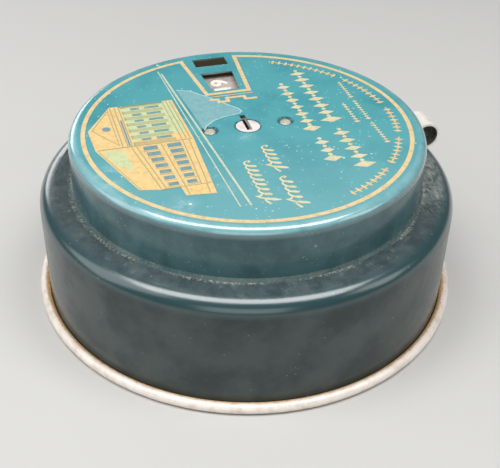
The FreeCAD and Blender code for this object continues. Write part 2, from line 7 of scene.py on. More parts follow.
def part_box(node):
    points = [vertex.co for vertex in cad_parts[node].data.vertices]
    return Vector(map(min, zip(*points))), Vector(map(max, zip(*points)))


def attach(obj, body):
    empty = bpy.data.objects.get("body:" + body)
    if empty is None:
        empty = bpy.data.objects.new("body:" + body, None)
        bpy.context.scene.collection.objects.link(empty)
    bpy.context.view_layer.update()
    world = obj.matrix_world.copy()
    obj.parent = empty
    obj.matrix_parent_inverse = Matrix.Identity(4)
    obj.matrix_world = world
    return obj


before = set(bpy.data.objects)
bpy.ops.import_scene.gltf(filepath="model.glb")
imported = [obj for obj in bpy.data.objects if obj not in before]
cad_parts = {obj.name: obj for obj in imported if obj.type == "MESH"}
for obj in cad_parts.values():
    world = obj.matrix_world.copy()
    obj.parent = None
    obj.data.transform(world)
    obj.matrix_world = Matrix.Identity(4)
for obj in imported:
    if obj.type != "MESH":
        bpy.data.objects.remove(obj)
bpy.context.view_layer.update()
print("frame loaded:", len(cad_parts), "nodes")

mm = 0.001
screenGamma, screenWhite = 2.2, 255
speckEdge = 0.01  # how softly the cells that hold a speck are told from the rest
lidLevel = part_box("upper_drum")[1].z / mm
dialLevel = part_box("dial")[1].z / mm
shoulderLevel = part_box("upper_drum")[0].z / mm


def shade(red, green, blue):
    # a screen colour, each part 0 to 255, turned into the light values that a shader takes
    return tuple((part / screenWhite) ** screenGamma for part in (red, green, blue)) + (1.0,)


class Flow:
    # one output in a finish; sums written on it add Math nodes
    def __init__(self, finish, socket):
        self.finish = finish
        self.socket = socket

    def math(self, operation, *values):
        return self.finish.math(operation, *values)

    def also(self, name):
        return Flow(self.finish, self.socket.node.outputs[name])

    def __add__(self, other):
        return self.math("ADD", self, other)

    def __radd__(self, other):
        return self.math("ADD", other, self)

    def __sub__(self, other):
        return self.math("SUBTRACT", self, other)

    def __rsub__(self, other):
        return self.math("SUBTRACT", other, self)

    def __mul__(self, other):
        return self.math("MULTIPLY", self, other)

    def __rmul__(self, other):
        return self.math("MULTIPLY", other, self)


class Finish:
    # a material built from nodes, measured in millimetres on the object
    def __init__(self, name):
        self.material = bpy.data.materials.new(name)
        self.material.use_nodes = True
        self.tree = self.material.node_tree
        self.tree.nodes.clear()
        place = self.node("ShaderNodeTexCoord", output="Object")
        self.place = self.node("ShaderNodeVectorMath", {"operation": "SCALE"},
                               {"Vector": place, "Scale": 1 / mm})
        parts = self.node("ShaderNodeSeparateXYZ", {}, {"Vector": self.place}, "X")
        self.across, self.along, self.height = parts, parts.also("Y"), parts.also("Z")
        flat = self.node("ShaderNodeVectorMath", {"operation": "MULTIPLY"}, {0: self.place, 1: (1, 1, 0)})
        self.radius = self.node("ShaderNodeVectorMath", {"operation": "LENGTH"}, {0: flat}, "Value")

    def node(self, kind, settings=None, inputs=None, output=0):
        made = self.tree.nodes.new(kind)
        for name, value in (settings or {}).items():
            setattr(made, name, value)
        for key, value in (inputs or {}).items():
            if isinstance(value, Flow):
                self.tree.links.new(value.socket, made.inputs[key])
            else:
                made.inputs[key].default_value = value
        return Flow(self, made.outputs[output]) if made.outputs else made

    def math(self, operation, *values):
        return self.node("ShaderNodeMath", {"operation": operation}, dict(enumerate(values)))

    def mix(self, first, second, amount):
        return self.node("ShaderNodeMix", {"data_type": "RGBA"}, {0: amount, 6: first, 7: second}, 2)

    def coat(self, colour, layer, mask):
        # one colour laid over another where the mask says, at the layer's own strength
        tint, strength = layer
        return self.mix(colour, tint, mask * strength)

    def noise(self, size, detail, rough=0.55):
        return self.node("ShaderNodeTexNoise", {}, {"Vector": self.place, "Scale": 1 / size,
                                                    "Detail": detail, "Roughness": rough}, "Fac")

    def rise(self, value, low, high):
        # 0 below low, 1 above high, smooth between; swapped ends make it fall
        return self.node("ShaderNodeMapRange", {"interpolation_type": "SMOOTHSTEP"},
                         {"Value": value, "From Min": low, "From Max": high, "To Min": 0.0, "To Max": 1.0})

    def patches(self, size, detail, rough, start, full):
        return self.rise(self.noise(size, detail, rough), start, full)

    def cloud(self, settings, weight):
        return self.noise(*settings) * weight

    def squeeze(self, mask, low, high):
        # 0 to 1 becomes low to high
        return mask * (high - low) + low

    def spot(self, centre, reach, soft):
        # a round patch on the lid, by its place in plan
        gap = self.node("ShaderNodeVectorMath", {"operation": "DISTANCE"},
                        {0: self.place, 1: (centre[0], centre[1], lidLevel)}, "Value")
        return self.rise(gap, reach + soft, reach - soft)

    def depth(self, corner, fold):
        # how far a place lies outside a round wall with a folded top edge
        aside, above = self.radius - (corner[0] - fold), self.height - (corner[1] - fold)
        out, over = self.math("MAXIMUM", aside, 0.0), self.math("MAXIMUM", above, 0.0)
        within = self.math("MINIMUM", self.math("MAXIMUM", aside, above), 0.0)
        return self.math("SQRT", out * out + over * over) + within - fold

    def specks(self, spacing, size, share):
        # scattered dots: a share of the cells holds one each
        cells = self.node("ShaderNodeTexVoronoi", {}, {"Vector": self.place, "Scale": 1 / spacing},
                          "Distance")
        lot = self.node("ShaderNodeSeparateColor", {}, {"Color": cells.also("Color")}, "Red")
        dots = self.rise(cells, size / spacing, size / spacing / 2)
        return dots * self.rise(lot, 1 - share, 1 - share + speckEdge)

    def streaks(self, length, width, turn=0.0):
        # fine marks drawn out along one direction
        vector = self.node("ShaderNodeMapping", {}, {"Vector": self.place, "Rotation": (0, 0, turn),
                                                     "Scale": (1 / length, 1 / width, 1 / width)})
        return self.node("ShaderNodeTexNoise", {}, {"Vector": vector, "Scale": 1.0, "Detail": 4.0}, "Fac")

    def bump(self, height, depth, strength):
        return self.node("ShaderNodeBump", {}, {"Height": height, "Distance": depth * mm,
                                                "Strength": strength})

    def surface(self, sockets):
        shader = self.node("ShaderNodeBsdfPrincipled", {}, sockets)
        self.node("ShaderNodeOutputMaterial", {}, {"Surface": shader})
        return self.material


# In the dictionaries below, a colour with a number after it is laid over the others at that strength.
# Noise is given by size, detail and roughness, and patches have after those the noise values where they
# start and are full. Specks are given by spacing, size and share, and streaks by length, width and turn.

lidPaint = {
    # the wall colours are the top's teal made darker: painted shade on the side of the lid
    "top": shade(82, 154, 161), "topDeep": shade(68, 140, 149), "wall": shade(78, 110, 114),
    "wallDeep": shade(60, 92, 97), "inside": shade(158, 150, 130),
    # the first colour below is a painted sheen, paler toward the negative x side of the top
    "paintedSheen": (shade(112, 164, 169), 0.75), "scuff": (shade(172, 208, 212), 0.7),
    "hair": (shade(172, 208, 212), 0.35), "speck": (shade(236, 240, 238), 0.75),
    # on the next line, the second colour is painted shadow round the rivets and the boss, and the third a
    # painted highlight along the rolled edge, with some rubbing wear
    "grime": (shade(120, 108, 84), 0.6), "ring": (shade(34, 56, 56), 0.8), "rim": (shade(150, 194, 200), 0.5),
    "topClouds": (17.0, 4.0, 0.55, 0.42, 0.68), "wallClouds": (9.0, 4.0, 0.55, 0.38, 0.66),
    "scuffGrain": (0.8, 6.0, 0.75, 0.36, 0.66), "scuffPatches": (4.0, 4.0, 0.6, 0.3, 0.6),
    "hairPatches": (22.0, 3.0, 0.55, 0.5, 0.6), "dustPatches": (13.0, 3.0, 0.55, 0.38, 0.62),
    "grimePatches": (1.1, 5.0, 0.7, 0.4, 0.62), "ringPatches": (1.1, 4.0, 0.7, 0.3, 0.6),
    "rimPatches": (7.0, 3.0, 0.55, 0.25, 0.6),
    "fineDust": (1.3, 0.3, 0.36), "dust": (2.1, 0.34, 0.3), "flecks": (5.6, 0.5, 0.25),
    "dustStrength": (0.45, 0.8), "dustShare": (0.3, 1.0), "grainShare": (0.3, 0.8),
    "hairlines": (26.0, 0.16, 0.6), "hairSpan": (0.69, 0.74),
    # where each look starts and is full: across the top, by height, above the shoulder and by radius
    "sheenSpan": (12.0, -52.0), "sheenLean": 0.2, "topLevels": (48.6, 50.2), "grimeLevels": (1.5, 0.1),
    "edgeRadii": (47.8, 49.0), "edgeLevels": (47.6, 48.6),
    # rubbed places on the top: centre, radius and soft edge
    "scuffs": [((-34.0, 27.0), 2.4, 3.6), ((-15.0, 42.8), 2.6, 4.2), ((-20.0, 44.0), 2.6, 4.0),
               ((-29.5, 14.9), 1.2, 3.4), ((-22.5, 15.4), 0.8, 2.6), ((-5.4, 2.6), 1.4, 3.0),
               ((2.0, 17.0), 1.0, 2.5), ((14.4, 4.0), 1.2, 2.0)],
    # the rivets and the boss: centre and radius; the painted shadow round them: how far out, in and softly it
    # reaches; and the same, out and softly, for the painted dish under each
    "rings": [((0.0, 11.2), 2.3), ((0.0, -11.2), 2.3), ((0.0, 0.0), 3.75)], "ringReach": (0.25, 0.5, 0.3),
    "dishReach": (1.0, 0.2), "corner": (50.8, 50.8), "foldRadius": 2.4, "tinDepths": (-0.2, -0.3),
    "rough": {"paint": 0.14, "clouds": ((6.0, 4.0), 0.1), "scuff": 0.35, "grime": 0.4, "tin": 0.2},
    "bumps": {"peel": ((0.9, 2.0, 0.4), 0.5), "waves": ((14.0, 2.0), 2.0), "dust": 0.6},
    "varnish": {"edge": 0.9, "all": 0.06}, "relief": (0.03, 0.35), "tinShine": 0.7,
    "gloss": {"Coat Roughness": 0.17, "Coat IOR": 1.9, "Specular IOR Level": 0.4},
}


def lidEnamel():
    paint = lidPaint
    finish = Finish("lid_enamel")
    top = finish.mix(paint["top"], paint["topDeep"], finish.patches(*paint["topClouds"]))
    # the top is painted paler toward its negative x side: a painted sheen
    paintedSheen = finish.rise(finish.across - finish.along * paint["sheenLean"], *paint["sheenSpan"])
    top = finish.coat(top, paint["paintedSheen"], paintedSheen)
    # the wall takes darker copies of the top's teal: painted shade on the side of the lid
    wall = finish.mix(paint["wall"], paint["wallDeep"], finish.patches(*paint["wallClouds"]))
    isTop = finish.rise(finish.height, *paint["topLevels"])
    colour = finish.mix(wall, top, isTop)
    rubbed = 0.0
    for centre, reach, soft in paint["scuffs"]:
        rubbed = finish.spot(centre, reach, soft) + rubbed
    grain = finish.squeeze(finish.patches(*paint["scuffGrain"]), *paint["grainShare"])
    rubbed = finish.math("MINIMUM", rubbed, 1.0) * grain * finish.patches(*paint["scuffPatches"]) * isTop
    colour = finish.coat(colour, paint["scuff"], rubbed)
    # hairlines, dust and a few larger flecks
    hair = finish.rise(finish.streaks(*paint["hairlines"]), *paint["hairSpan"])
    colour = finish.coat(colour, paint["hair"], hair * finish.patches(*paint["hairPatches"]))
    fine, coarse = paint["dustStrength"]
    dust = finish.specks(*paint["fineDust"]) * fine + finish.specks(*paint["dust"]) * coarse
    dust = dust * finish.squeeze(finish.patches(*paint["dustPatches"]), *paint["dustShare"])
    dust = finish.math("MINIMUM", dust + finish.specks(*paint["flecks"]), 1.0)
    dust = dust * finish.squeeze(isTop, *paint["dustShare"])
    colour = finish.coat(colour, paint["speck"], dust)
    # grime that gathers low on the wall, against the shoulder
    high, low = paint["grimeLevels"]
    grime = finish.rise(finish.height, shoulderLevel + high, shoulderLevel + low)
    grime = grime * finish.patches(*paint["grimePatches"])
    colour = finish.coat(colour, paint["grime"], grime)
    # painted shadow in the rings round the rivets and the boss, broken by noise
    out, inward, soft = paint["ringReach"]
    for centre, reach in paint["rings"]:
        ring = finish.spot(centre, reach + out, soft) - finish.spot(centre, reach - inward, soft)
        ring = finish.math("MAXIMUM", ring, 0.0) * finish.patches(*paint["ringPatches"])
        colour = finish.coat(colour, paint["ring"], ring)
    # the rolled edge is painted paler: a painted highlight along the edge, with some rubbing wear
    edge = finish.rise(finish.radius, *paint["edgeRadii"]) * finish.rise(finish.height, *paint["edgeLevels"])
    colour = finish.coat(colour, paint["rim"], edge * isTop * finish.patches(*paint["rimPatches"]))
    # the inside of the sheet is bare tin; the rivet dishes are painted
    bare = finish.rise(finish.depth(paint["corner"], paint["foldRadius"]), *paint["tinDepths"])
    out, soft = paint["dishReach"]
    for centre, reach in paint["rings"]:
        bare = bare * (1 - finish.spot(centre, reach + out, soft) * isTop)
    colour = finish.mix(colour, paint["inside"], bare)
    rough, varnish, bumps = paint["rough"], paint["varnish"], paint["bumps"]
    uneven = finish.cloud(*bumps["peel"]) + finish.cloud(*bumps["waves"]) + dust * bumps["dust"]
    return finish.surface({
        "Base Color": colour, "Metallic": bare * paint["tinShine"],
        "Roughness": (finish.cloud(*rough["clouds"]) + rubbed * rough["scuff"]
                      + grime * rough["grime"] + bare * rough["tin"] + rough["paint"]),
        "Coat Weight": (edge * varnish["edge"] + varnish["all"]) * (1 - bare),
        "Normal": finish.bump(uneven, *paint["relief"]), **paint["gloss"]})


drumPaint = {
    # the fold colour is darker and more teal than the wall and shoulder: painted shade round the fold's
    # highlight
    "wall": shade(84, 92, 91), "wallDeep": shade(66, 75, 75), "fold": shade(40, 69, 72),
    "shoulder": shade(80, 92, 94), "shoulderDeep": shade(58, 70, 73), "inside": shade(150, 140, 118),
    "crud": (shade(196, 194, 178), 0.8), "haze": (shade(176, 184, 180), 0.16),
    "rubbed": (shade(176, 184, 180), 0.45), "scratch": (shade(196, 198, 188), 0.6),
    "dust": (shade(176, 184, 180), 0.45),
    "wallClouds": (14.0, 4.0, 0.55, 0.35, 0.65), "shoulderClouds": (7.0, 6.0, 0.65, 0.34, 0.66),
    "crudGrain": (0.9, 5.0, 0.75, 0.44, 0.62), "crudGaps": (19.0, 2.0, 0.55, 0.34, 0.6),
    "hazePatches": (3.0, 6.0, 0.75, 0.5, 0.76), "rubbedPatches": (2.0, 6.0, 0.55, 0.3, 0.7),
    "fineDust": (2.0, 0.2, 0.25), "flecks": (6.0, 0.32, 0.3),
    "scratches": (4.0, 0.4, 1.2), "scratchSpan": (0.54, 0.66),
    # the outer corner of the shoulder; the fold by height from where it leaves the wall, and the flat
    # part in from the corner and from the fold's end, and by height from the top
    "corner": (60.5, 35.2), "foldRadius": 4.5, "foldLevels": (-0.5, 2.5), "flatInset": (1.4, 0.6),
    "flatLevels": (-2.0, -1.0), "neckRadii": (50.38, 50.28), "tinDepths": (-0.2, -0.3),
    # the dusty seam: its edge, how far that wanders, and its fade
    "seamRadius": 50.4, "seamNoise": (6.0, 5.0, 0.7), "seamSwing": 2.6, "seamFade": (0.9, -0.1),
    # the scratched stretch beside the lever, in degrees round the drum: its middle, and how far from
    # that it starts and is full
    "scratched": (-104.0, 30.0, 9.0),
    "rough": {"paint": 0.15, "clouds": ((5.0, 4.0), 0.14), "crud": 0.5, "haze": 0.2, "tin": 0.2,
              "fold": 0.02},
    "bumps": {"peel": ((1.0, 2.0, 0.4), 0.5), "waves": ((16.0, 2.0), 2.0), "crud": 3.0, "dust": 0.6},
    "varnish": 0.95, "relief": (0.035, 0.4), "tinShine": 0.7,
    "gloss": {"Coat Roughness": 0.23, "Coat IOR": 1.85, "Specular IOR Level": 0.16},
}


def drumEnamel():
    paint = drumPaint
    finish = Finish("drum_enamel")
    wall = finish.mix(paint["wall"], paint["wallDeep"], finish.patches(*paint["wallClouds"]))
    shoulder = finish.mix(paint["shoulder"], paint["shoulderDeep"], finish.patches(*paint["shoulderClouds"]))
    (side, top), turn = paint["corner"], paint["foldRadius"]
    low, high = paint["foldLevels"]
    fold = finish.rise(finish.height, top - turn + low, top - turn + high)
    start, full = paint["flatInset"]
    flatPart = finish.rise(finish.radius, side - start, side - turn - full)
    low, high = paint["flatLevels"]
    flatPart = flatPart * finish.rise(finish.height, top + low, top + high)
    # the fold takes its darker teal: painted shade round the fold's highlight
    colour = finish.mix(finish.mix(wall, paint["fold"], fold), shoulder, flatPart)
    # a crust of old dust along the seam, broken and uneven
    reach = finish.noise(*paint["seamNoise"]) * paint["seamSwing"] + paint["seamRadius"]
    crust = finish.rise(finish.radius - reach, *paint["seamFade"]) * flatPart
    crust = crust * finish.patches(*paint["crudGrain"]) * finish.patches(*paint["crudGaps"])
    colour = finish.coat(colour, paint["crud"], crust)
    haze = finish.patches(*paint["hazePatches"]) * flatPart
    colour = finish.coat(colour, paint["haze"], haze)
    # scratches beside the lever
    centre, start, full = paint["scratched"]
    angle = finish.math("DEGREES", finish.math("ARCTAN2", finish.along, finish.across))
    near = finish.rise(finish.math("ABSOLUTE", angle - centre), start, full) * flatPart
    colour = finish.coat(colour, paint["rubbed"], near * finish.patches(*paint["rubbedPatches"]))
    marks = finish.rise(finish.streaks(*paint["scratches"]), *paint["scratchSpan"])
    colour = finish.coat(colour, paint["scratch"], marks * near)
    dust = finish.math("MINIMUM", finish.specks(*paint["fineDust"]) + finish.specks(*paint["flecks"]), 1.0)
    colour = finish.coat(colour, paint["dust"], dust)
    # the inside of the sheet is bare tin, and so is the neck under the lid
    bare = finish.rise(finish.depth(paint["corner"], turn), *paint["tinDepths"])
    bare = finish.math("MAXIMUM", bare, finish.rise(finish.radius, *paint["neckRadii"]))
    colour = finish.mix(colour, paint["inside"], bare)
    rough, bumps = paint["rough"], paint["bumps"]
    uneven = finish.cloud(*bumps["peel"]) + finish.cloud(*bumps["waves"])
    uneven = uneven + crust * bumps["crud"] + dust * bumps["dust"]
    return finish.surface({
        "Base Color": colour, "Metallic": bare * paint["tinShine"],
        "Roughness": (finish.cloud(*rough["clouds"]) + crust * rough["crud"] + haze * rough["haze"]
                      + bare * rough["tin"] - fold * rough["fold"] + rough["paint"]),
        "Coat Weight": fold * paint["varnish"],
        "Normal": finish.bump(uneven, *paint["relief"]), **paint["gloss"]})


baseTin = {
    "bead": shade(250, 240, 230), "beadDull": shade(230, 214, 202), "floor": shade(178, 168, 150),
    "rust": shade(214, 166, 96), "rustDark": shade(140, 90, 46), "rustStrength": 0.85,
    "pit": (shade(140, 90, 46), 0.25), "spotStrength": 0.7, "floorStrength": 0.7,
    "dullPatches": (4.0, 5.0, 0.65, 0.4, 0.7), "rustPatches": (0.7, 5.0, 0.7, 0.45, 0.7),
    "spots": (1.6, 6.0, 0.7, 0.66, 0.74), "floorRust": (7.0, 7.0, 0.7, 0.52, 0.68),
    "pits": (0.45, 4.0, 0.7, 0.62, 0.7),
    # where the floor inside the bead starts, and where the rust creeps out by radius and height
    "floorRadii": (59.8, 58.6), "rustRadii": (62.05, 61.45), "rustLevels": (1.2, 1.9),
    "rustNoise": (2.2, 6.0, 0.75), "rustSwing": 1.6,
    "rough": {"tin": 0.34, "clouds": ((2.0, 4.0), 0.16), "rust": 0.35}, "metallic": 0.15,
    "bumps": {"grain": (0.6, 4.0), "pits": 0.6, "rust": 0.5}, "relief": (0.03, 0.5),
}


def beadTin():
    look = baseTin
    finish = Finish("base_tin")
    colour = finish.mix(look["bead"], look["beadDull"], finish.patches(*look["dullPatches"]))
    under = finish.rise(finish.radius, *look["floorRadii"])
    colour = finish.mix(colour, look["floor"], under)
    # golden rust creeps out from where the curl meets the painted wall
    reach = finish.noise(*look["rustNoise"]) * look["rustSwing"] - look["rustSwing"] / 2
    creep = finish.rise(finish.radius - reach, *look["rustRadii"])
    creep = creep * finish.rise(finish.height, *look["rustLevels"])
    spots = finish.patches(*look["spots"]) * look["spotStrength"]
    floorRust = under * finish.patches(*look["floorRust"]) * look["floorStrength"]
    rusty = finish.math("MINIMUM", creep + spots + floorRust, 1.0)
    rust = finish.mix(look["rust"], look["rustDark"], finish.patches(*look["rustPatches"]))
    colour = finish.mix(colour, rust, rusty * look["rustStrength"])
    pits = finish.patches(*look["pits"])
    colour = finish.coat(colour, look["pit"], pits)
    rough, bumps = look["rough"], look["bumps"]
    uneven = finish.noise(*bumps["grain"]) - pits * bumps["pits"] + rusty * bumps["rust"]
    return finish.surface({
        "Base Color": colour, "Metallic": look["metallic"] - rusty * look["metallic"],
        "Roughness": finish.cloud(*rough["clouds"]) + rusty * rough["rust"] + rough["tin"],
        "Normal": finish.bump(uneven, *look["relief"])})


metals = {
    "nickel": {"name": "bright_nickel", "colour": shade(250, 242, 232), "dull": shade(226, 210, 192),
               "tarnish": shade(136, 98, 62), "metallic": 0.5, "roughness": 0.14, "tarnishFrom": 0.66,
               "grain": (9.0, 0.12)},
    "rivet": {"name": "rivet_tin", "colour": shade(226, 218, 200), "dull": shade(192, 182, 162),
              "tarnish": shade(84, 68, 54), "metallic": 0.4, "roughness": 0.24, "tarnishFrom": 0.52,
              "grain": (1.2, 0.3)},
    "tab": {"name": "rubbed_nickel", "colour": shade(255, 250, 242), "dull": shade(240, 226, 212),
            "tarnish": shade(150, 112, 74), "metallic": 0.25, "roughness": 0.14, "tarnishFrom": 0.66,
            # the tab's hollow colour is painted shade inside its curled lip
            "grain": (9.0, 0.12), "curl": (-55.3, 41.45, 3.5), "hollow": shade(52, 38, 26)},
    "boss": {"name": "stamped_tin", "colour": shade(250, 242, 240), "dull": shade(228, 214, 210),
             "tarnish": shade(126, 106, 92), "metallic": 0.25, "roughness": 0.26, "tarnishFrom": 0.62,
             "grain": (1.6, 0.3)},
    "tin": {"name": "dull_tin", "colour": shade(196, 190, 176), "dull": shade(150, 142, 126),
            "tarnish": shade(112, 76, 42), "metallic": 0.8, "roughness": 0.26, "tarnishFrom": 0.6,
            "grain": (12.0, 0.2)},
    "steel": {"name": "spring_steel", "colour": shade(128, 134, 142), "dull": shade(88, 90, 96),
              "tarnish": shade(92, 58, 36), "metallic": 0.95, "roughness": 0.18, "tarnishFrom": 0.64,
              "grain": (14.0, 0.1)},
}
metalWear = {
    # what the metals share: how stains and brushed lines spread and how strongly they show
    "dullPatches": (3.0, 5.0, 0.65, 0.4, 0.7), "stain": (2.2, 7.0, 0.72), "stainEdge": 0.12,
    "stainStrength": 0.6, "stainMatt": 0.4, "lineSpan": (0.5, 0.75), "lineStrength": 0.4,
    "hollowEdge": 0.1, "hollowNoise": (1.2, 4.0), "hollowShare": (0.72, 1.02),
    "rough": {"clouds": ((1.5, 4.0), 0.12), "lines": 0.08, "stain": 0.25},
    "bumps": (0.8, 3.0), "relief": (0.012, 0.4),
}


def metal(kind):
    look, wear = metals[kind], metalWear
    finish = Finish(look["name"])
    colour = finish.mix(look["colour"], look["dull"], finish.patches(*wear["dullPatches"]))
    lines = finish.streaks(*look["grain"])
    colour = finish.mix(colour, look["dull"], finish.rise(lines, *wear["lineSpan"]) * wear["lineStrength"])
    stain = finish.patches(*wear["stain"], look["tarnishFrom"], look["tarnishFrom"] + wear["stainEdge"])
    colour = finish.mix(colour, look["tarnish"], stain * wear["stainStrength"])
    if "curl" in look:
        # the inside of the curled lip is painted dark: painted shade in the hollow, uneven by noise
        along, level, reach = look["curl"]
        aside, above = finish.along - along, finish.height - level
        gap = finish.math("SQRT", aside * aside + above * above)
        hollow = finish.rise(gap, reach + wear["hollowEdge"], reach - wear["hollowEdge"])
        hollowShading = finish.squeeze(finish.noise(*wear["hollowNoise"]), *wear["hollowShare"])
        colour = finish.mix(colour, look["hollow"], hollow * hollowShading)
    rough = wear["rough"]
    return finish.surface({
        "Base Color": colour, "Metallic": look["metallic"] - stain * wear["stainMatt"],
        "Roughness": (finish.cloud(*rough["clouds"]) + lines * rough["lines"]
                      + stain * rough["stain"] + look["roughness"]),
        "Normal": finish.bump(lines + finish.noise(*wear["bumps"]), *wear["relief"])})


dialPaint = {
    "face": shade(206, 196, 190), "faceDeep": shade(168, 158, 150), "spot": (shade(110, 84, 62), 0.5),
    "faceClouds": (4.0, 5.0, 0.7, 0.4, 0.7), "stains": (1.6, 6.0, 0.7, 0.62, 0.72),
    "rough": {"paint": 0.3, "clouds": ((2.0, 4.0), 0.15), "stain": 0.2}, "metallic": 0.25,
    "bumps": (0.7, 3.0), "relief": (0.02, 0.4),
}


def dialEnamel():
    paint = dialPaint
    finish = Finish("dial_enamel")
    colour = finish.mix(paint["face"], paint["faceDeep"], finish.patches(*paint["faceClouds"]))
    stain = finish.patches(*paint["stains"])
    colour = finish.coat(colour, paint["spot"], stain)
    rough = paint["rough"]
    return finish.surface({
        "Base Color": colour, "Metallic": paint["metallic"],
        "Roughness": finish.cloud(*rough["clouds"]) + stain * rough["stain"] + rough["paint"],
        "Normal": finish.bump(finish.noise(*paint["bumps"]) + stain, *paint["relief"])})


inks = {
    # name, colour, worn colour and roughness
    "gold": ("gold_ink", shade(222, 197, 150), shade(196, 168, 120), 0.34),
    "straw": ("straw_ink", shade(214, 206, 172), shade(188, 178, 138), 0.34),
    "pale": ("pale_ink", shade(200, 204, 182), shade(158, 182, 166), 0.34),
    "cream": ("cream_ink", shade(228, 196, 138), shade(210, 172, 110), 0.36),
    "green": ("pale_green_ink", shade(200, 206, 158), shade(176, 190, 148), 0.36),
    "line": ("fine_line_ink", shade(150, 152, 118), shade(176, 164, 120), 0.4),
    "slate": ("slate_ink", shade(104, 142, 150), shade(138, 158, 150), 0.38),
    "mist": ("mist_ink", shade(128, 172, 176), shade(106, 158, 166), 0.3),
    "frost": ("frost_ink", shade(186, 212, 210), shade(150, 192, 194), 0.3),
    "white": ("figure_white", shade(248, 242, 230), shade(214, 200, 180), 0.4),
}
inkWear = {
    "mottle": (1.4, 6.0, 0.75, 0.42, 0.7), "dots": (0.6, 0.12, 0.4), "dotStrength": 0.7,
    "specks": (3.1, 0.2, 0.3), "speck": (shade(246, 244, 236), 0.7), "mottleRough": 0.15,
    "gloss": {"Coat Weight": 0.25, "Coat Roughness": 0.12}, "bumps": (0.5, 4.0), "relief": (0.008, 0.5),
}


def ink(kind):
    name, fresh, worn, roughness = inks[kind]
    finish = Finish(name)
    mottle = finish.patches(*inkWear["mottle"])
    colour = finish.mix(fresh, worn, mottle)
    colour = finish.coat(colour, (worn, inkWear["dotStrength"]), finish.specks(*inkWear["dots"]))
    colour = finish.coat(colour, inkWear["speck"], finish.specks(*inkWear["specks"]))
    return finish.surface({
        "Base Color": colour, "Roughness": mottle * inkWear["mottleRough"] + roughness,
        "Normal": finish.bump(finish.noise(*inkWear["bumps"]), *inkWear["relief"]), **inkWear["gloss"]})


print("finishes ready to mix")

rubbedNickel = metal("tab")
dullTin = metal("tin")
springSteel = metal("steel")
brightNickel = metal("nickel")
stampedTin = metal("boss")
cadFinishes = {
    "lower_drum": drumEnamel(), "base_plate": beadTin(), "upper_drum": lidEnamel(), "dial": dialEnamel(),
    "lock_case": stampedTin, "lid_rivets": metal("rivet"), "lever": rubbedNickel,
}
for group, look in ((("strike_lugs", "lock_cover", "lever_washer", "spacer_ring", "pawl_spacer", "dial_hub",
                      "coin_chute"), dullTin),
                    (("return_spring", "click_spring", "cam_spring", "dial_retainer", "pawl", "pawl_spring",
                      "ratchet_wheel", "lock_bar"), springSteel),
                    (("spring_rivets", "pawl_pin", "dial_rivets", "lock_cam", "bar_nut",
                      "gate_pin", "coin_gate"), brightNickel)):
    for node in group:
        cadFinishes[node] = look
for node, look in cadFinishes.items():
    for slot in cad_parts[node].material_slots:
        slot.material = look
print("finishes on", len(cadFinishes), "nodes")


# half the thickness of the ink, what each shape tops the last by, and the sharpest mitre of a stroke
printing = {"half": 0.03, "lift": 0.0004, "mitre": 0.4}


class Print:
    # thin closed shapes of ink, drawn in plan in millimetres on one level
    def __init__(self, level):
        self.mesh = bmesh.new()
        self.low = (level - printing["half"]) * mm
        self.high = (level + printing["half"]) * mm

    def rows(self, points, level, climb=0.0):
        step = climb * mm / len(points)
        return [self.mesh.verts.new((x * mm, y * mm, level + step * place))
                for place, (x, y) in enumerate(points)]

    def raised(self):
        # each shape tops the last by a hair, so that crossing strokes never share a plane
        self.high += printing["lift"] * mm
        return self.high

    def plate(self, outline):
        low = self.rows(outline, self.low)
        high = self.rows(outline, self.raised())
        self.mesh.faces.new(high)
        self.mesh.faces.new(low[::-1])
        for here in range(len(outline)):
            there = (here + 1) % len(outline)
            self.mesh.faces.new((low[here], low[there], high[there], high[here]))
        return self

    def line(self, points, width, closed=False, climb=0.0):
        # a stroke with mitred corners; width is one size or one for each point, and climb
        # lifts its far end, for a stroke that crosses itself
        widths = width if isinstance(width, list) else [width] * len(points)
        left, right = [], []
        for here, point in enumerate(points):
            before = points[here - 1] if here or closed else point
            after = points[(here + 1) % len(points)] if here + 1 < len(points) or closed else point
            into = Vector((point[0] - before[0], point[1] - before[1]))
            away = Vector((after[0] - point[0], after[1] - point[1]))
            into = into.normalized() if into.length else away.normalized()
            away = away.normalized() if away.length else into
            along = (into + away).normalized()
            reach = widths[here] / 2 / max(along.dot(into), printing["mitre"])
            left.append((point[0] - along.y * reach, point[1] + along.x * reach))
            right.append((point[0] + along.y * reach, point[1] - along.x * reach))
        sides = [self.rows(side, level, climb)
                 for level in (self.low, self.raised()) for side in (left, right)]
        lowLeft, lowRight, highLeft, highRight = sides
        for here in range(len(points) if closed else len(points) - 1):
            there = (here + 1) % len(points)
            self.mesh.faces.new((highRight[here], highRight[there], highLeft[there], highLeft[here]))
            self.mesh.faces.new((lowLeft[here], lowLeft[there], lowRight[there], lowRight[here]))
            self.mesh.faces.new((highLeft[here], highLeft[there], lowLeft[there], lowLeft[here]))
            self.mesh.faces.new((lowRight[here], lowRight[there], highRight[there], highRight[here]))
        if not closed:
            self.mesh.faces.new((lowLeft[0], lowRight[0], highRight[0], highLeft[0]))
            self.mesh.faces.new((lowRight[-1], lowLeft[-1], highLeft[-1], highRight[-1]))
        return self

    def finish(self, name, body, look):
        self.mesh.normal_update()
        many = [face for face in self.mesh.faces if len(face.verts) > 4]
        bmesh.ops.triangulate(self.mesh, faces=many)
        bmesh.ops.recalc_face_normals(self.mesh, faces=self.mesh.faces)
        mesh = bpy.data.meshes.new(name)
        self.mesh.to_mesh(mesh)
        self.mesh.free()
        mesh.materials.append(look)
        piece = bpy.data.objects.new(name, mesh)
        bpy.context.scene.collection.objects.link(piece)
        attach(piece, body)
        return piece


def onCircle(radius, degrees, centre):
    turn = math.radians(degrees)
    return (centre[0] + radius * math.cos(turn), centre[1] + radius * math.sin(turn))


def arc(radius, first, last, steps, centre):
    return [onCircle(radius, first + (last - first) * step / steps, centre) for step in range(steps + 1)]


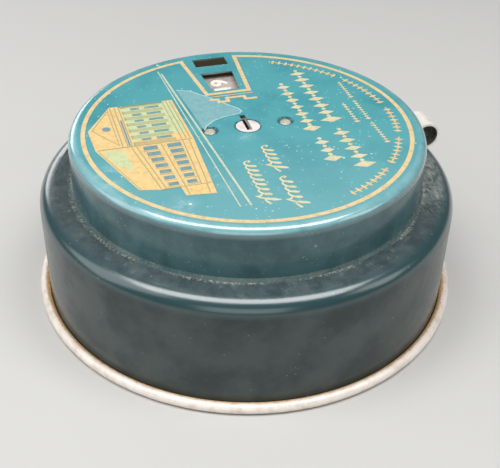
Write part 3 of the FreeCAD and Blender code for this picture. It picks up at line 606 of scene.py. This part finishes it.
def between(first, last, share):
    return (first[0] + (last[0] - first[0]) * share, first[1] + (last[1] - first[1]) * share)


# ink levels stand a hair above each other, so that no two shapes lie in one plane
inkLayers = {"lowest": 0.028, "step": 0.016, "names": ("ground", "tint", "stroke", "top")}
layers = {name: lidLevel + inkLayers["lowest"] + place * inkLayers["step"]
          for place, name in enumerate(inkLayers["names"])}
goldInk = ink("gold")

frameLine = {
    "centre": (-0.6, 0.2), "ringRadius": 46.35, "legHalf": 8.8, "baseHalf": 6.6, "baseRadius": 21.1,
    "width": 1.25, "steps": 160,
    "key": [(17.4, 6.8), (17.4, 4.2), (15.6, 4.2), (15.6, 1.4), (17.6, 1.4), (17.6, -4.0), (15.7, -4.0),
            (15.7, -7.6)],
    "keyWidth": 1.05, "rail": [(19.2, 6.6), (19.2, -7.2)], "railWidth": 0.34,
}


def borderRing():
    # the ring leaves its circle at the windows and runs in round them as a tapering bracket
    gap = math.degrees(math.asin(frameLine["legHalf"] / frameLine["ringRadius"]))
    points = arc(frameLine["ringRadius"], gap, 360 - gap, frameLine["steps"], frameLine["centre"])
    points.append((frameLine["baseRadius"], -frameLine["baseHalf"]))
    points.append((frameLine["baseRadius"], frameLine["baseHalf"]))
    Print(layers["ground"]).line(points, frameLine["width"], True).finish("border_ring", "lid", goldInk)
    steps = Print(layers["stroke"])
    steps.line(frameLine["key"], frameLine["keyWidth"])
    steps.line(frameLine["rail"], frameLine["railWidth"])
    steps.finish("border_steps", "lid", goldInk)


hall = {
    "wing": [(-31.0, 17.4), (-3.0, 16.6), (-3.0, 34.4), (-26.0, 30.6), (-26.0, 25.6), (-30.0, 25.2)],
    "roof": [(-26.0, 30.6), (-3.0, 34.4), (-3.0, 43.9), (-24.6, 36.2)],
    "porch": [(-3.0, 16.6), (20.6, 17.6), (20.6, 20.6), (19.6, 20.8), (19.6, 33.6), (20.4, 33.9),
              (20.4, 36.4), (8.0, 44.4), (-3.0, 43.9)],
    "shade": [[(2.0, 17.4), (19.6, 18.2), (19.4, 33.2), (-0.6, 33.2)],
              [(-15.6, 35.2), (-4.0, 36.6), (-4.4, 42.2), (-12.0, 39.6)]],
    # the wing: its lines from left to right, those of its low end, the ridge, and rows of windows
    # whose sills and heads slope
    "wingSpan": (-25.6, -3.4),
    "wingLines": [(18.6, 18.0), (20.2, 19.8), (24.4, 26.0), (29.4, 32.8), (30.6, 34.2)],
    "wingEnd": [[(-30.4, 19.0), (-25.8, 18.8)], [(-29.8, 24.2), (-25.8, 24.4)],
                [(-25.9, 17.6), (-25.9, 30.4)]],
    "ridge": [(-24.4, 35.8), (-3.4, 43.2)], "wingBays": 7, "wingWide": 22.2, "paneHalf": (0.75, 1.0),
    "wingWindows": [((20.9, 20.6), (23.4, 24.6)), ((25.6, 27.4), (28.2, 31.4))], "jamb": (0.5, 0.3),
    # the porch: steps, columns with capitals, the windows between them, and the gable
    "stepSpan": (-2.4, 20.0), "stepLevels": (18.4, 19.5, 20.7), "stepDrop": 0.9,
    "bays": 6, "porchLeft": -1.8, "porchWide": 21.4, "flutes": (-0.55, 0.0, 0.55), "column": (21.3, 32.8),
    "capital": (0.9, 33.0), "paneInset": 1.2, "porchWindows": [(22.2, 26.4), (28.0, 30.6)],
    "beamSpan": (-2.8, 20.0), "beamLevels": (33.8, 35.0, 36.3),
    "gable": [(-1.6, 37.2), (8.0, 43.2), (18.4, 37.2)],
    "corner": [(-3.0, 17.2), (-3.0, 43.4)], "roundWindow": ((8.0, 39.2), 1.2, 16),
    "sign": [(-2.6, 34.4), (12.0, 34.4)],
    "line": 0.27, "fine": 0.2, "capitalLine": 0.432, "cornerLine": 0.351, "signLine": 0.5,
}


def slope(ends, share):
    # a height or a width that changes evenly along the wing toward the porch
    return ends[0] + (ends[1] - ends[0]) * share


def pane(left, low, right, high):
    return [(left, low), (right, low), (right, high), (left, high)]


def hallWing(strokes, panes):
    left, right = hall["wingSpan"]
    for first, last in hall["wingLines"]:
        strokes.line([(left, first), (right, last)], hall["line"])
    for points in hall["wingEnd"]:
        strokes.line(points, hall["line"])
    strokes.line(hall["ridge"], hall["fine"])
    aside, beyond = hall["jamb"]
    for place in range(hall["wingBays"]):
        share = (place + 0.5) / hall["wingBays"]
        middle = left + hall["wingWide"] * share
        half = slope(hall["paneHalf"], share)
        for low, high in hall["wingWindows"]:
            sill, head = slope(low, share), slope(high, share)
            panes.plate(pane(middle - half, sill, middle + half, head))
            jamb = middle - half - aside
            strokes.line([(jamb, sill - beyond), (jamb, head + beyond)], hall["fine"])


def hallPorch(strokes, panes):
    left, right = hall["stepSpan"]
    for level in hall["stepLevels"]:
        strokes.line([(left, level - hall["stepDrop"]), (right, level)], hall["line"])
    bay = hall["porchWide"] / hall["bays"]
    (foot, top), (capitalHalf, capitalLevel) = hall["column"], hall["capital"]
    for place in range(hall["bays"] + 1):
        middle = hall["porchLeft"] + bay * place
        for side in hall["flutes"]:
            width = hall["line"] if side else hall["fine"]
            strokes.line([(middle + side, foot), (middle + side, top)], width)
        strokes.line([(middle - capitalHalf, capitalLevel), (middle + capitalHalf, capitalLevel)],
                     hall["capitalLine"])
        if place < hall["bays"]:
            for low, high in hall["porchWindows"]:
                panes.plate(pane(middle + hall["paneInset"], low, middle + bay - hall["paneInset"], high))
    left, right = hall["beamSpan"]
    for level in hall["beamLevels"]:
        strokes.line([(left, level), (right, level)], hall["line"])
    strokes.line(hall["gable"], hall["line"], True)
    strokes.line(hall["corner"], hall["cornerLine"])
    centre, radius, steps = hall["roundWindow"]
    panes.plate(arc(radius, 0, 360, steps, centre)[:-1])
    panes.line(hall["sign"], hall["signLine"])


def townHall():
    # a made-up hall: a plain wing on the left and a gabled porch with columns on the right
    ground = Print(layers["ground"])
    for part in ("wing", "roof", "porch"):
        ground.plate(hall[part])
    ground.finish("hall_ground", "lid", ink("cream"))
    tint = Print(layers["tint"])
    for patch in hall["shade"]:
        tint.plate(patch)
    tint.finish("hall_tint", "lid", ink("green"))
    strokes = Print(layers["stroke"])
    panes = Print(layers["top"])
    hallWing(strokes, panes)
    hallPorch(strokes, panes)
    strokes.finish("hall_strokes", "lid", ink("line"))
    panes.finish("hall_panes", "lid", ink("slate"))


rules = {
    "near": ((-38.6, 10.6), (38.0, 16.9), 0.62), "far": ((-38.5, 13.4), (40.0, 17.7), 0.34), "steps": 12,
    "pennantEdge": [(26.4, 14.9), (24.6, 11.0), (19.5, 6.6), (14.0, 2.6), (10.6, -0.2), (8.6, -0.7),
                    (7.6, 0.4)],
    "pennantBack": [(7.2, 2.6), (6.6, 5.6), (5.2, 8.8), (2.8, 11.4), (0.6, 12.6)], "pennantLine": 0.3,
}


def groundRules():
    lines = Print(layers["stroke"])
    steps = rules["steps"]
    for start, end, width in (rules["near"], rules["far"]):
        lines.line([between(start, end, step / steps) for step in range(steps + 1)], width)
    lines.finish("ground_rules", "lid", ink("pale"))
    edge = rules["pennantEdge"] + rules["pennantBack"]
    Print(layers["ground"]).plate(edge).finish("pennant", "lid", ink("mist"))
    Print(layers["tint"]).line(edge, rules["pennantLine"]).finish("pennant_edge", "lid", ink("frost"))


ornament = {
    # each row: where it starts and ends, its height, and its groups of motifs; each gap is in motif widths
    "bold": [((-25.0, -17.2), (22.0, -17.2), 4.3, (3, 7)), ((-30.0, -24.4), (29.6, -24.4), 5.2, (5, 8))],
    "small": [((-6.4, -31.2), (5.4, -31.2), 1.7, (8,)), ((-19.2, -35.0), (18.8, -35.0), 1.6, (9, 9, 8))],
    "boldGap": 0.9, "smallGap": 1.2,
    "arc": {"radius": 42.6, "tall": 2.7, "from": -159.0, "to": -26.0, "groups": (8, 7, 7, 9, 11),
            "centre": (-0.6, 0.2), "gap": 1.3},
    # shares of a motif's width and height: a lozenge, the leaf that starts a group, the bead beside each
    "lozenge": (0.56, 1.0), "leaf": (0.74, 1.3), "bead": 0.15, "beadSteps": 10,
}


def lozenge(middle, wide, tall, turn):
    across = Vector((math.cos(turn), math.sin(turn))) * wide / 2
    along = Vector((-math.sin(turn), math.cos(turn))) * tall / 2
    centre = Vector(middle)
    return [tuple(centre + side) for side in (-across, -along, across, along)]


def motif(sheet, middle, wide, tall, turn, kind):
    broad, high = ornament[kind]
    sheet.plate(lozenge(middle, wide * broad, tall * high, turn))
    beside = Vector(middle) + Vector((math.cos(turn), math.sin(turn))) * wide / 2
    sheet.plate(arc(wide * ornament["bead"], 0, 360, ornament["beadSteps"], tuple(beside))[:-1])


def motifWidth(length, groups, gap):
    # how wide a motif is when groups of them, with gaps between, fill a length
    return length / (sum(groups) + (len(groups) - 1) * gap)


def motifRows():
    # rows of beads and leaves stand where a maker would letter the lid
    sheet = Print(layers["ground"])
    for rows, gap in ((ornament["bold"], ornament["boldGap"]), (ornament["small"], ornament["smallGap"])):
        for start, end, tall, groups in rows:
            wide = motifWidth(end[0] - start[0], groups, gap)
            x = start[0]
            for count in groups:
                for place in range(count):
                    kind = "lozenge" if place else "leaf"
                    motif(sheet, (x + wide / 2, start[1]), wide, tall, 0.0, kind)
                    x += wide
                x += wide * gap
    sheet.finish("motif_rows", "lid", ink("straw"))
    bent = ornament["arc"]
    ticks = Print(layers["ground"])
    step = motifWidth(bent["to"] - bent["from"], bent["groups"], bent["gap"])
    wide = math.radians(step) * bent["radius"]
    angle = bent["from"]
    for count in bent["groups"]:
        for place in range(count):
            turn = angle + step / 2
            middle = onCircle(bent["radius"], turn, bent["centre"])
            motif(ticks, middle, wide, bent["tall"], math.radians(turn) + math.pi / 2, "lozenge")
            angle += step
        angle += step * bent["gap"]
    ticks.finish("motif_arc", "lid", goldInk)


flourish = {
    # each run: where it starts and ends along the lid, its line, and how many loops it has
    "runs": [(-38.6, -18.0, 5.6, 9), (-42.0, -27.6, -1.4, 6), (-24.8, -11.5, -1.4, 6)],
    "tall": 1.4, "first": 2.6, "firstLoops": 1.2, "width": 0.52, "swell": 0.16, "roll": 0.8, "lean": 0.4,
    "climb": 0.035, "fade": 1.2, "steps": 16,
}


def flourishes():
    # a running pen loop, taller at its start
    sheet = Print(layers["ground"])
    for start, end, line, loops in flourish["runs"]:
        steps = loops * flourish["steps"]
        points, widths = [], []
        for step in range(steps + 1):
            share = step / steps
            turn = share * loops * 2 * math.pi
            tall = flourish["first"] if share < flourish["firstLoops"] / loops else flourish["tall"]
            fade = min(1.0, share * loops * flourish["fade"], (1 - share) * loops * flourish["fade"])
            rise = math.sin(turn) * tall * fade
            x = start + (end - start) * share - math.cos(turn) * flourish["roll"] + rise * flourish["lean"]
            points.append((x, line + rise))
            widths.append(flourish["width"] + flourish["swell"] * math.cos(turn))
        sheet.line(points, widths, climb=flourish["climb"])
    sheet.finish("flourishes", "lid", ink("straw"))


figures = {"count": 20, "shown": 19, "radius": 29.8, "aside": -0.15, "tall": 5.5, "broad": 1.22,
           "thickness": 0.05, "bold": 0.034, "extrude": 0.01, "smooth": 6, "above": 0.03, "merge": 0.001}


def figureMesh(number):
    curve = bpy.data.curves.new("figure", "FONT")
    curve.body = str(number)
    curve.align_x = "CENTER"
    curve.extrude = figures["extrude"]
    curve.offset = figures["bold"]
    curve.resolution_u = figures["smooth"]
    maker = bpy.data.objects.new("figure", curve)
    bpy.context.scene.collection.objects.link(maker)
    bpy.context.view_layer.update()
    mesh = bpy.data.meshes.new_from_object(maker.evaluated_get(bpy.context.evaluated_depsgraph_get()))
    bpy.data.objects.remove(maker)
    return mesh


def dialFigures():
    # counting numbers round the dial, upright as each comes to the window
    pitch = 360 / figures["count"]
    thick = figures["thickness"] * mm / (2 * figures["extrude"])
    joined = bmesh.new()
    for place in range(figures["count"]):
        mesh = figureMesh((figures["shown"] + place) % figures["count"])
        heights = [v.co.y for v in mesh.vertices]
        size = figures["tall"] / (max(heights) - min(heights)) * mm
        middle = (max(heights) + min(heights)) / 2 * size
        shift = Matrix.Translation((figures["radius"] * mm, figures["aside"] * mm - middle,
                                    (dialLevel + figures["above"]) * mm))
        scale = Matrix.Diagonal((size * figures["broad"], size, thick, 1))
        mesh.transform(Matrix.Rotation(math.radians(-pitch * place), 4, "Z") @ shift @ scale)
        joined.from_mesh(mesh)
    bmesh.ops.remove_doubles(joined, verts=joined.verts, dist=figures["merge"] * mm)
    mesh = bpy.data.meshes.new("dial_figures")
    joined.to_mesh(mesh)
    joined.free()
    mesh.materials.append(ink("white"))
    piece = bpy.data.objects.new("dial_figures", mesh)
    bpy.context.scene.collection.objects.link(piece)
    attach(piece, "dial")


borderRing()
townHall()
groundRules()
motifRows()
flourishes()
dialFigures()
print("print laid on the lid and the dial")

studio = {
    "floor": shade(196, 195, 192), "floorRoughness": 0.7, "floorSize": 6.0,
    "world": (0.62, 0.64, 0.66, 1.0), "worldStrength": 0.19,
    # each light: place in metres, width across the view and depth along it, watts
    "lights": [((-0.10, 0.03, 0.80), (1.10, 0.40), 8.2), ((0.02, 0.66, 0.46), (0.70, 0.50), 1.7),
               ((-0.42, -0.62, 0.42), (0.40, 0.30), 0.7), ((0.80, 0.24, 0.26), (0.40, 0.22), 0.9),
               ((-0.74, 0.23, 0.34), (0.60, 0.40), 0.9)],
    # the lights look at this height in metres, and their long sides lie square to this heading in degrees
    "aimHeight": 0.03, "facing": 162.5,
}


def layStage():
    half = studio["floorSize"] / 2
    mesh = bpy.data.meshes.new("floor")
    corners = [(-half, -half, 0), (half, -half, 0), (half, half, 0), (-half, half, 0)]
    mesh.from_pydata(corners, [], [(0, 1, 2, 3)])
    finish = Finish("studio_floor")
    paint = {"Base Color": studio["floor"], "Roughness": studio["floorRoughness"]}
    mesh.materials.append(finish.surface(paint))
    floor = bpy.data.objects.new("floor", mesh)
    bpy.context.scene.collection.objects.link(floor)
    world = bpy.data.worlds.new("studio")
    world.use_nodes = True
    backing = world.node_tree.nodes["Background"]
    backing.inputs["Color"].default_value = studio["world"]
    backing.inputs["Strength"].default_value = studio["worldStrength"]
    bpy.context.scene.world = world
    for number, (place, size, watts) in enumerate(studio["lights"]):
        lamp = bpy.data.lights.new(f"softbox_{number}", "AREA")
        lamp.shape = "RECTANGLE"
        lamp.size, lamp.size_y = size
        lamp.energy = watts
        light = bpy.data.objects.new(lamp.name, lamp)
        light.location = place
        back = (light.location - Vector((0, 0, studio["aimHeight"]))).normalized()
        turn = math.radians(studio["facing"])
        across = Vector((-math.sin(turn), math.cos(turn), 0))
        upward = back.cross(across).normalized()
        light.matrix_world = Matrix((upward.cross(back), upward, back)).transposed().to_4x4()
        light.location = place
        bpy.context.scene.collection.objects.link(light)


viewer = {"distance": 279.2, "elevation": 36.32, "heading": 162.5, "roll": 1.304, "lens": 64.85,
          "aside": 1.28, "aimHeight": 12.54, "film": 36.0, "nearest": 0.01}


def placeCamera():
    lift, turn = math.radians(viewer["elevation"]), math.radians(viewer["heading"])
    back = Vector((math.cos(turn) * math.cos(lift), math.sin(turn) * math.cos(lift), math.sin(lift)))
    right = Vector((-math.sin(turn), math.cos(turn), 0))
    up = back.cross(right)
    roll = math.radians(viewer["roll"])
    across = right * math.cos(roll) + up * math.sin(roll)
    upward = up * math.cos(roll) - right * math.sin(roll)
    place = (right * viewer["aside"] + Vector((0, 0, viewer["aimHeight"])) + back * viewer["distance"]) * mm
    lens = bpy.data.cameras.new("viewer")
    lens.lens = viewer["lens"]
    lens.sensor_width = viewer["film"]
    lens.clip_start = viewer["nearest"]
    camera = bpy.data.objects.new("viewer", lens)
    bpy.context.scene.collection.objects.link(camera)
    camera.matrix_world = Matrix((across, upward, back)).transposed().to_4x4()
    camera.location = place
    bpy.context.scene.camera = camera


layStage()
placeCamera()
bpy.context.scene.view_settings.view_transform = "Standard"
print("stage, lights and camera in place")
